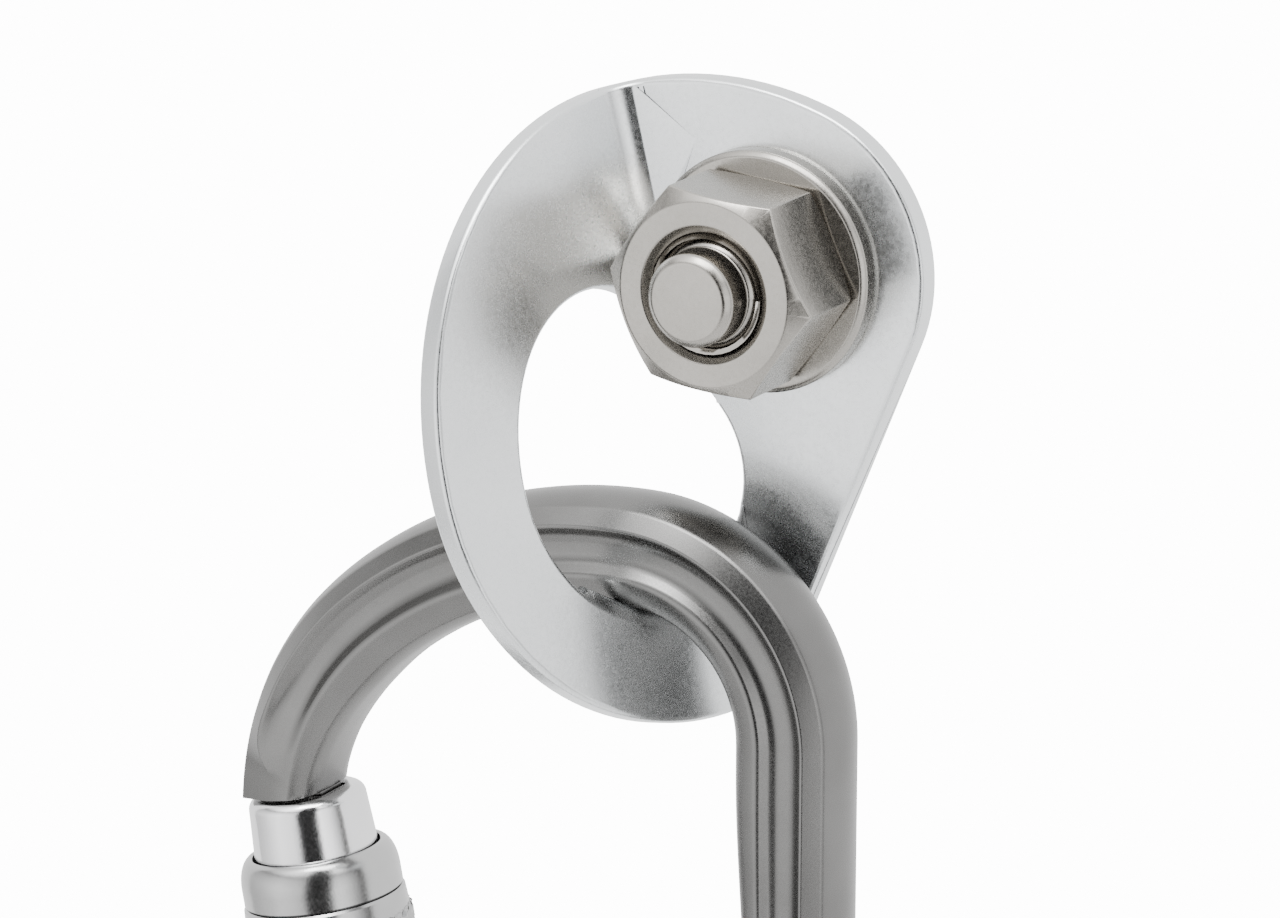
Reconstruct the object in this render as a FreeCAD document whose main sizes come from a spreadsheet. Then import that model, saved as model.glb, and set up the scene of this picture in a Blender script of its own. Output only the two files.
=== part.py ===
import FreeCAD, Part
import math
import os
import Sketcher

# Anchor hanger with expansion bolt, washer and nut, and a screw-lock connector clipped in its eye.
# Row frame, millimetres: the wall is the plane y = 0 and +Y runs into it, +Z is up, and the bolt's
# axis is the Y axis. The hanger's plate is drawn upright and turned by the hang angle at the end.
# The connector hangs in a plane parallel to the wall.

doc = FreeCAD.newDocument("AnchorHanger")
Vector = FreeCAD.Vector
Y_AXIS = Vector(0, 1, 0)

SIZES = {
    # bolt
    "stud_radius": 6.0,         # smooth shank, the size of the hole in the wall
    "thread_radius": 5.43,      # pitch radius of M12, since a plain cylinder stands for the thread
    "thread_start": -15.5,      # outer end of the thread
    "tip_radius": 4.58,
    "tip_length": 3.6,
    "shank_end": 40.0,          # shoulder behind which the neck starts
    "neck_radius": 4.6,
    "neck_length": 19.0,
    "cone_length": 7.0,
    "cone_radius": 5.95,
    "end_land": 3.0,
    "clip_play": 1.0,
    "clip_slit": 2.4,
    "washer_radius": 12.0,
    "washer_thickness": 2.5,
    "washer_clearance": 0.5,
    "nut_flats": 19.0,
    "nut_height": 10.4,
    "thread_clearance": 0.05,
    "edge_break": 0.8,          # chamfer at the start of a thread
    "tip_break": 0.7,
    # hanger
    "plate": 3.0,
    "bolt_clearance": 0.25,
    "head_radius": 16.95,
    "edge_angle": 36.3,
    "fold_offset": 10.3,
    "fold_radius": 1.6,
    "fold_angle": 70.0,
    "hang_angle": 14.3,
    "plate_rise": 20.1,
    "plate_drop": 43.0,
    "corner_radius": 5.0,
    "ear_reach": 30.6,          # from the end of the fold to the ear's outer edge
    "ear_middle": 14.1,
    "eye_reach": 21.1,
    "eye_top_reach": 8.4,       # from the end of the fold to the middle of the eye's upper curve
    "eye_middle": 15.5,
    "eye_rise": 1.6,
    "eye_drop": 32.3,
    "eye_back_offset": 18.6,    # centre of the eye's arc in the wall plate
    "eye_back_drop": 17.8,
    "eye_back_radius": 11.0,
    # connector
    "bar_thickness": 10.4,
    "bar_outer": 5.88,          # from the bar's centre line to its outer edge
    "bar_inner": 5.45,
    "bar_round": 2.9,
    "spine_offset": 7.84,       # bolt axis to the spine's centre line
    "bow_drop": 27.76,          # bolt axis to the bow's centre line
    "bow_radius": 17.1,
    "shoulder_radius": 45.7,
    "shoulder_turn": 42.0,
    "nose_radius": 30.0,
    "nose_turn": 46.0,
    "connector_depth": 11.0,    # wall to the connector's middle plane
    "basket_fall": 13.56,       # hinge to the lowest point of the bar's centre line
    "basket_radius": 13.5,
    "recess_outer": 3.0,
    "recess_inner": 1.4,
    "recess_depth": 2.2,
    # gate
    "gate_lean": 10.5,
    "gate_top_offset": 49.2,
    "gate_top_drop": 59.6,
    "gate_length": 57.3,
    "head_top_radius": 6.1,
    "head_height": 9.0,
    "bar_radius": 5.5,
    "gate_thread_radius": 5.95,
    "gate_thread_foot": 32.5,   # below the gate's top
    "gate_thread_length": 13.0,
    "fork_radius": 5.35,
    "fork_gap": 5.3,
    "tongue": 5.0,
    "tongue_radius": 4.0,
    "tongue_offset": 1.0,
    "tongue_play": 1.4,         # from the tongue's end to the fork's root
    "cheek_depth": 0.6,
    "cheek_height": 9.0,
    "rivet_radius": 1.5,
    "rivet_lip": 1.0,
    "rivet_head": 0.45,
    "key_clearance": 0.3,
    "bore_radius": 2.2,
    "bore_depth": 16.0,         # beyond the tongue's end
    "plunger_clearance": 0.05,
    "plunger_length": 5.0,
    "spring_wire": 0.5,
    # screw sleeve
    "sleeve_bore": 6.75,
    "sleeve_clearance": 0.25,   # round the gate's head
    "ring_wall": 1.6,
    "ring_rim": 0.15,           # flat left inside the ring's rounded top edge
    "ring_top": 6.2,            # below the gate's top
    "ring_height": 5.1,
    "spigot_length": 1.6,
    "spigot_wall": 0.6,
    "barrel_wall": 2.0,         # at the wide bore
    "barrel_length": 27.0,
    "cover_depth": 6.6,         # depth of the wide bore in the barrel
}

# Sizes that follow the ones above, so that the pieces keep fitting one another.
FOLLOWING = {
    "head_foot_radius": "sleeve_bore - sleeve_clearance",
    "ring_radius": "sleeve_bore + ring_wall",
    "barrel_radius": "sleeve_bore + barrel_wall",
    "basket_drop": "gate_top_drop + gate_length * cos(gate_lean) + basket_fall",
}

sheet = doc.addObject("Spreadsheet::Sheet", "Sizes")
cells = list(SIZES.items()) + [(alias, "=" + text) for alias, text in FOLLOWING.items()]
for row, (alias, content) in enumerate(cells, start=1):
    sheet.set("A%d" % row, alias)
    sheet.set("B%d" % row, str(content))
    sheet.setAlias("B%d" % row, alias)
doc.recompute()


def size(text):
    """Number that an expression in the sheet's names gives now."""
    return float(sheet.evalExpression(text))


def in_sheet(text):
    """The same expression as another object of the document has to write it."""
    words = sorted([*SIZES, *FOLLOWING], key=len, reverse=True)
    marked = text
    for index, word in enumerate(words):
        marked = marked.replace(word, "<%d>" % index)
    for index, word in enumerate(words):
        marked = marked.replace("<%d>" % index, "Sizes." + word)
    return marked


# ---------------------------------------------------------------- building helpers

def new_body(name):
    return doc.addObject("PartDesign::Body", name)


def origin_plane(body, role):
    return next(item for item in body.Origin.OriginFeatures if item.Role == role)


def new_sketch(body, name, role="XZ_Plane"):
    sketch = body.newObject("Sketcher::SketchObject", name)
    sketch.AttachmentSupport = [(origin_plane(body, role), "")]
    sketch.MapMode = "FlatFace"
    return sketch


def polygon_sketch(body, name, role, corners):
    """Closed polygon whose corner positions are expressions of the sheet's sizes."""
    sketch = new_sketch(body, name, role)
    points = [Vector(size(a), size(b), 0) for a, b in corners]
    count = len(points)
    for index in range(count):
        sketch.addGeometry(Part.LineSegment(points[index], points[(index + 1) % count]))
    for index in range(count):
        sketch.addConstraint(Sketcher.Constraint("Coincident", index, 2, (index + 1) % count, 1))
    for index, pair in enumerate(corners):
        for kind, text, axis in zip(("DistanceX", "DistanceY"), pair, (-2, -1)):
            number = size(text)
            if abs(number) < 1e-9:
                sketch.addConstraint(Sketcher.Constraint("PointOnObject", index, 1, axis))
                continue
            place = sketch.addConstraint(Sketcher.Constraint(kind, -1, 1, index, 1, number))
            sketch.setExpression("Constraints[%d]" % place, in_sheet(text))
    return sketch


def turned(name, corners, role="XY_Plane", axis="V_Axis"):
    """Body turned about the sketch's vertical axis from (radius, height) corners."""
    body = new_body(name)
    sketch = polygon_sketch(body, name + "_profile", role, corners)
    feature = body.newObject("PartDesign::Revolution", name + "_turned")
    feature.Profile = sketch
    feature.ReferenceAxis = (sketch, [axis])
    feature.Angle = 360
    doc.recompute()
    return body


def pad(body, sketch, text, midplane=False, backwards=False):
    feature = body.newObject("PartDesign::Pad", sketch.Name + "_pad")
    feature.Profile = sketch
    feature.SideType = "Symmetric" if midplane else "One side"
    feature.Reversed = backwards
    feature.setExpression("Length", in_sheet(text))
    doc.recompute()
    return feature


def dress(body, kind, edges, text):
    """Fillet or chamfer on the named edges of a body's tip, or on all it finds there."""
    base = body.Tip
    feature = body.newObject("PartDesign::" + kind, "%s_%s" % (body.Name, kind.lower()))
    feature.Base = (base, edges(base.Shape))
    feature.setExpression("Radius" if kind == "Fillet" else "Size", in_sheet(text))
    doc.recompute()
    return feature


def edge_names(shape, wanted):
    return ["Edge%d" % (index + 1) for index, edge in enumerate(shape.Edges) if wanted(edge)]


def at_middle(edge):
    return edge.valueAt(0.5 * (edge.FirstParameter + edge.LastParameter))


def arc(centre, radius, start, end):
    """Circular arc, counter-clockwise from the start to the end angle in degrees."""
    circle = Part.Circle(Vector(centre[0], centre[1], 0), Vector(0, 0, 1), radius)
    return Part.ArcOfCircle(circle, math.radians(start), math.radians(end))


def quarter_oval(centre, half_width, half_height, start, end):
    """Part of an ellipse with upright axes, angles as on a circle in degrees."""
    middle = Vector(centre[0], centre[1], 0)
    if half_width >= half_height:
        ellipse = Part.Ellipse(middle + Vector(half_width, 0, 0), middle + Vector(0, half_height, 0), middle)
        return Part.ArcOfEllipse(ellipse, math.radians(start), math.radians(end))
    ellipse = Part.Ellipse(middle + Vector(0, half_height, 0), middle - Vector(half_width, 0, 0), middle)
    return Part.ArcOfEllipse(ellipse, math.radians(start - 90), math.radians(end - 90))


def line(start, end):
    return Part.LineSegment(Vector(start[0], start[1], 0), Vector(end[0], end[1], 0))


def on_circle(centre, radius, degrees):
    angle = math.radians(degrees)
    return (centre[0] + radius * math.cos(angle), centre[1] + radius * math.sin(angle))


def boolean(kind, name, base, tool):
    result = doc.addObject("Part::" + kind, name)
    result.Base = base
    result.Tool = tool
    doc.recompute()
    return result


def fused(name, shapes):
    result = doc.addObject("Part::MultiFuse", name)
    result.Shapes = shapes
    result.Refine = True
    doc.recompute()
    return result


def cylinder(name, radius, height, base=Vector(0, 0, 0), direction=Vector(0, 0, 1)):
    result = doc.addObject("Part::Cylinder", name)
    result.setExpression("Radius", in_sheet(radius))
    result.setExpression("Height", in_sheet(height))
    result.Placement = FreeCAD.Placement(base, FreeCAD.Rotation(Vector(0, 0, 1), direction))
    doc.recompute()
    return result


nodes = {}


def keep(name, result):
    result.Label = name
    nodes[name] = result


# A turned piece of the bolt is drawn in the XY plane with y as its height, so it already lies
# along the bolt's axis. A turned piece of the gate is drawn in the XZ plane, upright.

# ---------------------------------------------------------------- bolt

NECK_END = "shank_end + neck_length"


def make_stud():
    end = NECK_END + " + cone_length + end_land"
    corners = [
        ("0", "thread_start - tip_length"),
        ("tip_radius - tip_break", "thread_start - tip_length"),
        ("tip_radius", "thread_start - tip_length + tip_break"),
        ("tip_radius", "thread_start"),
        ("thread_radius - edge_break", "thread_start"),
        ("thread_radius", "thread_start + edge_break"),
        ("thread_radius", "0"),
        ("stud_radius", "0"),
        ("stud_radius", "shank_end"),
        ("neck_radius", "shank_end"),
        ("neck_radius", NECK_END),
        ("cone_radius", NECK_END + " + cone_length"),
        ("cone_radius", NECK_END + " + cone_length + end_land - 1"),
        ("cone_radius - 1", end),
        ("0", end),
    ]
    keep("stud", turned("stud", corners))


def make_clip():
    """Split sleeve round the neck, with a raised band at its mouth and a slit along it."""
    start = "shank_end + clip_play / 2"
    end = NECK_END + " - clip_play / 2"
    corners = [
        ("neck_radius + 0.15", start),
        ("stud_radius - 0.3", start),
        ("stud_radius + 0.1", start + " + 1"),
        ("stud_radius + 0.1", start + " + 3"),
        ("stud_radius - 0.2", start + " + 4"),
        ("stud_radius - 0.2", end),
        ("neck_radius + 0.15", end),
    ]
    sleeve = turned("clip_sleeve", corners)
    slit = doc.addObject("Part::Box", "clip_slit")
    slit.setExpression("Length", in_sheet("stud_radius + 1"))
    slit.setExpression("Width", in_sheet("neck_length + 2"))
    slit.setExpression("Height", in_sheet("clip_slit"))
    slit.setExpression("Placement.Base.y", in_sheet("shank_end - 1"))
    slit.setExpression("Placement.Base.z", in_sheet("-clip_slit / 2"))
    doc.recompute()
    keep("expansion_clip", boolean("Cut", "expansion_clip", sleeve, slit))


def make_washer():
    bore = "stud_radius + washer_clearance"
    back = "-plate"
    front = "-plate - washer_thickness"
    corners = [
        (bore, back),
        ("washer_radius - 0.3", back),
        ("washer_radius", back + " - 0.3"),
        ("washer_radius", front + " + 0.5"),
        ("washer_radius - 0.5", front),
        (bore, front),
    ]
    keep("washer", turned("washer", corners))


def make_nut():
    """Hexagon bar with both ends turned to a cone and the bore countersunk."""
    body = new_body("nut_hexagon")
    sketch = new_sketch(body, "nut_section")
    corner = size("nut_flats / sqrt(3)")
    for index in range(6):
        sketch.addGeometry(line(on_circle((0, 0), corner, 60 * index),
                                on_circle((0, 0), corner, 60 * index + 60)))
    for index in range(6):
        sketch.addConstraint(Sketcher.Constraint("Coincident", index, 2, (index + 1) % 6, 1))
    pad(body, sketch, "nut_height")
    body.setExpression("Placement.Base.y", in_sheet("-plate - washer_thickness"))
    body.Placement.Rotation = FreeCAD.Rotation(Y_AXIS, 6)
    back = "-plate - washer_thickness"
    front = "-plate - washer_thickness - nut_height"
    bore = "thread_radius + thread_clearance"
    turned_ends = turned("nut_ends", [
        (bore + " + 0.5", back),
        ("nut_flats / 2 - 0.2", back),
        ("nut_flats / sqrt(3) + 0.4", back + " - 1.1"),
        ("nut_flats / sqrt(3) + 0.4", front + " + 1.1"),
        ("nut_flats / 2 - 0.2", front),
        (bore + " + 0.55", front),
        (bore, front + " + 0.55"),
        (bore, back + " - 0.5"),
    ])
    keep("nut", boolean("Common", "nut", body, turned_ends))


# ---------------------------------------------------------------- hanger

def straight_edge_angle():
    """Direction, from +X, of the normal of the wall plate's straight edge."""
    return -size("edge_angle")


def corner_arc_centre():
    """Centre of the round corner between the straight edge and the plate's lower end."""
    normal = math.radians(straight_edge_angle())
    inner = size("head_radius - corner_radius")
    height = size("corner_radius - plate_drop")
    across = (inner - height * math.sin(normal)) / math.cos(normal)
    return (across, height)


def fold_curve(start, start_slope, end, end_slope):
    """Height along the fold as a smooth curve of the share of the fold, from 0 to 1."""
    length = math.radians(size("fold_angle")) * size("fold_radius + plate / 2")

    def height(share):
        square = share * share
        cube = square * share
        return ((2 * cube - 3 * square + 1) * start + (cube - 2 * square + share) * start_slope * length
                + (3 * square - 2 * cube) * end + (cube - square) * end_slope * length)
    return height


def eye_back_crossing(side):
    """Height and slope where the eye's arc in the wall plate meets the fold."""
    across = size("eye_back_offset - fold_offset")
    rise = math.sqrt(size("eye_back_radius") ** 2 - across ** 2)
    return -size("eye_back_drop") + side * rise, side * across / rise


EYE_TOP_CORNER = 9.0
EYE_FOOT_CORNER = 6.5


def eye_oval_centres():
    foot_radius = size("eye_drop - eye_middle")
    upper = size("eye_top_reach")
    lower = size("eye_reach") - foot_radius
    return upper, lower


def wall_outline():
    fold = -size("fold_offset")
    rise = size("plate_rise")
    head = size("head_radius")
    top_radius = (fold ** 2 + rise ** 2 - head ** 2) / (2 * (rise - head))
    top_centre = (fold, rise - top_radius)
    join = math.degrees(math.atan2(-top_centre[1], -top_centre[0]))
    edge = straight_edge_angle()
    corner = corner_arc_centre()
    corner_radius = size("corner_radius")
    corner_end = -math.degrees(math.acos((fold - corner[0]) / corner_radius))
    eye_centre = (-size("eye_back_offset"), -size("eye_back_drop"))
    eye_radius = size("eye_back_radius")
    eye_angle = math.degrees(math.acos((fold - eye_centre[0]) / eye_radius))
    eye_low = on_circle(eye_centre, eye_radius, -eye_angle)
    eye_high = on_circle(eye_centre, eye_radius, eye_angle)
    return [
        arc(top_centre, top_radius, join, 90),
        arc((0, 0), head, edge, join),
        line(on_circle(corner, corner_radius, edge), on_circle((0, 0), head, edge)),
        arc(corner, corner_radius, corner_end, edge),
        line(eye_low, on_circle(corner, corner_radius, corner_end)),
        arc(eye_centre, eye_radius, -eye_angle, eye_angle),
        line((fold, rise), eye_high),
    ]


def ear_outline():
    """Ear seen square on: x runs away from the fold to the left, so reach is negative."""
    reach = size("ear_reach")
    rise = size("plate_rise")
    drop = size("plate_drop")
    middle = -size("ear_middle")
    lower_radius = drop + middle
    eye_reach = size("eye_reach")
    eye_middle = -size("eye_middle")
    eye_rise = size("eye_rise")
    eye_drop = size("eye_drop")
    upper, lower = eye_oval_centres()
    top_start = math.degrees(math.acos(upper / EYE_TOP_CORNER))
    foot_start = math.degrees(math.acos(lower / EYE_FOOT_CORNER))
    top_corner = (-upper, eye_rise - EYE_TOP_CORNER)
    foot_corner = (-lower, -eye_drop + EYE_FOOT_CORNER)
    return [
        quarter_oval((0, middle), reach, rise - middle, 90, 180),
        arc((lower_radius - reach, middle), lower_radius, 180, 270),
        line((lower_radius - reach, -drop), (0, -drop)),
        line((0, -drop), on_circle(foot_corner, EYE_FOOT_CORNER, -foot_start)),
        arc(foot_corner, EYE_FOOT_CORNER, 270, 360 - foot_start),
        arc((-lower, eye_middle), eye_reach - lower, 180, 270),
        quarter_oval((-upper, eye_middle), eye_reach - upper, eye_rise - eye_middle, 90, 180),
        arc(top_corner, EYE_TOP_CORNER, top_start, 90),
        line(on_circle(top_corner, EYE_TOP_CORNER, top_start), (0, rise)),
    ]


def fold_tool(name, low, high):
    """Solid that takes the fold away between two heights, each a function of the fold's share."""
    inner = size("fold_radius") - 0.5
    outer = size("fold_radius + plate") + 0.5
    centre = Vector(-size("fold_offset"), -size("plate + fold_radius"), 0)
    sections = []
    steps = 6
    for step in range(steps + 1):
        share = step / steps
        turn = math.radians(size("fold_angle") * share)
        away = Vector(-math.sin(turn), math.cos(turn), 0)
        corners = []
        for radius, height in ((inner, low), (outer, low), (outer, high), (inner, high)):
            corners.append(centre + away * radius + Vector(0, 0, height(share)))
        sections.append(Part.makePolygon(corners + [corners[0]]))
    tool = doc.addObject("Part::Feature", name)
    tool.Shape = Part.makeLoft(sections, True, False)
    return tool


def make_hanger():
    wall = new_body("hanger_wall")
    outline = new_sketch(wall, "wall_outline")
    outline.addGeometry(wall_outline())
    bore = "stud_radius + bolt_clearance"
    place = outline.addGeometry(Part.Circle(Vector(0, 0, 0), Vector(0, 0, 1), size(bore)))
    outline.addConstraint(Sketcher.Constraint("Coincident", place, 3, -1, 1))
    radius = outline.addConstraint(Sketcher.Constraint("Radius", place, size(bore)))
    outline.setExpression("Constraints[%d]" % radius, in_sheet(bore))
    pad(wall, outline, "plate")

    # The fold is turned whole about its own upright axis, then the eye and the corner are cut.
    fold = new_body("hanger_fold")
    section = polygon_sketch(fold, "fold_section", "XZ_Plane", [
        ("fold_radius", "-plate_drop - 1"),
        ("fold_radius + plate", "-plate_drop - 1"),
        ("fold_radius + plate", "plate_rise"),
        ("fold_radius", "plate_rise"),
    ])
    turn = fold.newObject("PartDesign::Revolution", "fold_turn")
    turn.Profile = section
    turn.ReferenceAxis = (section, ["V_Axis"])
    turn.setExpression("Angle", in_sheet("fold_angle"))
    fold.Placement.Rotation = FreeCAD.Rotation(Vector(0, 0, 1), 90)
    fold.setExpression("Placement.Base.x", in_sheet("-fold_offset"))
    fold.setExpression("Placement.Base.y", in_sheet("-plate - fold_radius"))
    doc.recompute()

    ear = new_body("hanger_ear")
    ear_sketch = new_sketch(ear, "ear_outline")
    ear_sketch.addGeometry(ear_outline())
    pad(ear, ear_sketch, "plate")
    angle = size("fold_angle")
    turn_angle = math.radians(angle)
    outer = size("fold_radius + plate")
    ear.Placement = FreeCAD.Placement(
        Vector(-size("fold_offset") - outer * math.sin(turn_angle),
               -size("plate + fold_radius") + outer * math.cos(turn_angle), 0),
        FreeCAD.Rotation(Vector(0, 0, 1), angle))
    doc.recompute()

    upper, lower = eye_oval_centres()
    top_fall = math.sqrt(EYE_TOP_CORNER ** 2 - upper ** 2)
    foot_fall = math.sqrt(EYE_FOOT_CORNER ** 2 - lower ** 2)
    eye_high = fold_curve(*eye_back_crossing(1), size("eye_rise") - EYE_TOP_CORNER + top_fall,
                          upper / top_fall)
    eye_low = fold_curve(*eye_back_crossing(-1), EYE_FOOT_CORNER - size("eye_drop") - foot_fall,
                         -lower / foot_fall)
    corner = corner_arc_centre()
    across = -size("fold_offset") - corner[0]
    corner_fall = math.sqrt(size("corner_radius") ** 2 - across ** 2)
    foot = fold_curve(corner[1] - corner_fall, -across / corner_fall, -size("plate_drop"), 0)
    tools = fused("fold_tools", [
        fold_tool("eye_tool", eye_low, eye_high),
        fold_tool("foot_tool", lambda share: -size("plate_drop") - 2, foot),
    ])
    webs = boolean("Cut", "fold_webs", fold, tools)
    blank = fused("hanger_blank", [wall, webs, ear])

    seat = cylinder("washer_seat", "washer_radius + 0.3", "washer_thickness + 4",
                    Vector(0, -size("plate"), 0), Vector(0, -1, 0))
    hanger = boolean("Cut", "hanger_plate", blank, seat)
    hanger.Placement = FreeCAD.Placement(Vector(0, 0, 0),
                                         FreeCAD.Rotation(Y_AXIS, -size("hang_angle")))
    keep("hanger", hanger)


# ---------------------------------------------------------------- connector frame

def hinge_point():
    lean = math.radians(size("gate_lean"))
    return (-size("gate_top_offset") + size("gate_length") * math.sin(lean),
            -size("gate_top_drop") - size("gate_length") * math.cos(lean))


def gate_placement():
    """Gate frame: origin on the hinge, local Z up the gate, local Y the hinge's axis."""
    across, height = hinge_point()
    return FreeCAD.Placement(Vector(across, -size("connector_depth"), height),
                             FreeCAD.Rotation(Y_AXIS, -size("gate_lean")))


def in_gate(across, along):
    """Point of the XZ plane from its place in the gate frame."""
    lean = math.radians(size("gate_lean"))
    hinge = hinge_point()
    return (hinge[0] + across * math.cos(lean) - along * math.sin(lean),
            hinge[1] + across * math.sin(lean) + along * math.cos(lean))


def bar_arcs():
    """Arcs of the bar's centre line from the hinge round to the nose: centre, radius, start, end."""
    lean = size("gate_lean")
    sine = math.sin(math.radians(lean))
    basket = size("basket_radius")
    hinge = hinge_point()
    bottom = -size("basket_drop")
    side = bottom + basket * (1 - sine)
    below = (hinge[1] - side) / math.cos(math.radians(lean))
    left = in_gate(basket, -below)
    radius = size("bow_radius")
    spine = size("spine_offset")
    shoulder = size("shoulder_radius")
    nose = size("nose_radius")
    turn = 90 + size("shoulder_turn")
    crown = (spine - radius, -size("bow_drop"))
    shoulder_centre = (crown[0], crown[1] - shoulder)
    nose_centre = on_circle(shoulder_centre, shoulder - nose, turn)
    return [
        (left, basket, 180 + lean, 270),
        ((spine - radius, bottom + radius), radius, 270, 360),
        ((crown[0], crown[1] - radius), radius, 0, 90),
        (shoulder_centre, shoulder, 90, turn),
        (nose_centre, nose, turn, turn + size("nose_turn")),
    ]


def rail(arcs, offset):
    """Arcs and joining lines parallel to the bar's centre line, in order."""
    pieces = []
    last = None
    for centre, radius, start, end in arcs:
        first = on_circle(centre, radius + offset, start)
        if last and math.dist(first, last) > 1e-6:
            pieces.append(line(last, first))
        pieces.append(arc(centre, radius + offset, start, end))
        last = on_circle(centre, radius + offset, end)
    return pieces


def nose_face_angle(centre, radius):
    """Angle on a circle where it meets the flat end face of the nose."""
    lean = math.radians(size("gate_lean"))
    axis = (-math.sin(lean), math.cos(lean))
    face = in_gate(0, size("gate_length + key_clearance"))
    reach = (face[0] - centre[0]) * axis[0] + (face[1] - centre[1]) * axis[1]
    return 90 + size("gate_lean") + math.degrees(math.acos(reach / radius))


NOSE_TAPER = 2.2


def frame_outline():
    arcs = bar_arcs()
    outer = size("bar_outer")
    inner = size("bar_inner")
    centre, radius, start, end = arcs[-1]
    outer_end = nose_face_angle(centre, radius + outer)
    outer_rail = rail(arcs[:-1] + [(centre, radius, start, outer_end)], outer)
    # the nose's inner side has a larger radius, so the bar thins towards its end
    slim_radius = radius - inner + NOSE_TAPER
    join = on_circle(centre, radius - inner, start)
    slim_centre = on_circle(join, -slim_radius, start)
    inner_end = nose_face_angle(slim_centre, slim_radius)
    inner_rail = rail(arcs[:-1], -inner) + [arc(slim_centre, slim_radius, start, inner_end)]
    nose_face = line(on_circle(centre, radius + outer, outer_end),
                     on_circle(slim_centre, slim_radius, inner_end))
    left, basket, angle = arcs[0][:3]
    tongue = size("tongue_radius")
    middle = in_gate(size("tongue_offset"), 0)
    lean = size("gate_lean")
    return outer_rail + inner_rail + [
        nose_face,
        line(on_circle(left, basket + outer, angle), on_circle(middle, tongue, 180 + lean)),
        arc(middle, tongue, lean, 180 + lean),
        line(on_circle(left, basket - inner, angle), on_circle(middle, tongue, lean)),
    ]


RECESS_START = 225      # angle on the basket's first arc where the recess begins
NOSE_RECESS = 25        # and how far it runs round the nose


def recess_outline():
    arcs = bar_arcs()
    outer = size("recess_outer")
    inner = size("recess_inner")
    centre, radius, start, end = arcs[0]
    arcs[0] = (centre, radius, RECESS_START, end)
    centre, radius, start, end = arcs[-1]
    stop = start + NOSE_RECESS
    arcs[-1] = (centre, radius, start, stop)
    half = (outer + inner) / 2
    shift = (outer - inner) / 2
    first = on_circle(arcs[0][0], arcs[0][1] + shift, RECESS_START)
    last = on_circle(centre, radius + shift, stop)
    return rail(arcs, outer) + rail(arcs, -inner) + [
        arc(first, half, RECESS_START - 180, RECESS_START),
        arc(last, half, stop, stop + 180),
    ]


def key_profile(body, name, grow, top):
    """T-shaped key of the nose, in the gate frame's YZ plane."""
    neck = "1.9 + %s" % grow
    bulb = "3.1 + %s" % grow
    corners = []
    for side in ("-1", "1"):
        half = [
            ("%s * (%s)" % (side, neck), "gate_length + %s" % top),
            ("%s * (%s)" % (side, neck), "gate_length - 2 + %s" % grow),
            ("%s * (%s)" % (side, bulb), "gate_length - 2.8 + %s" % grow),
            ("%s * (%s)" % (side, bulb), "gate_length - 4.5 - %s" % grow),
            ("%s * (%s - 0.8)" % (side, bulb), "gate_length - 5.3 - %s" % grow),
        ]
        corners += half if side == "-1" else half[::-1]
    return polygon_sketch(body, name, "YZ_Plane", corners)


def key_arc(name, grow, top, start, end):
    """Key profile turned about the hinge from the start to the end angle."""
    body = new_body(name)
    sketch = key_profile(body, name + "_profile", grow, top)
    feature = body.newObject("PartDesign::Revolution", name + "_arc")
    feature.Profile = sketch
    feature.ReferenceAxis = (sketch, ["H_Axis"])
    feature.Angle = end - start
    doc.recompute()
    turn = FreeCAD.Placement(Vector(0, 0, 0), FreeCAD.Rotation(Y_AXIS, start))
    body.Placement = gate_placement().multiply(turn)
    doc.recompute()
    return body


KEY_OUT = -4.6      # angles about the hinge that the nose's key spans
KEY_IN = 3.2


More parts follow.
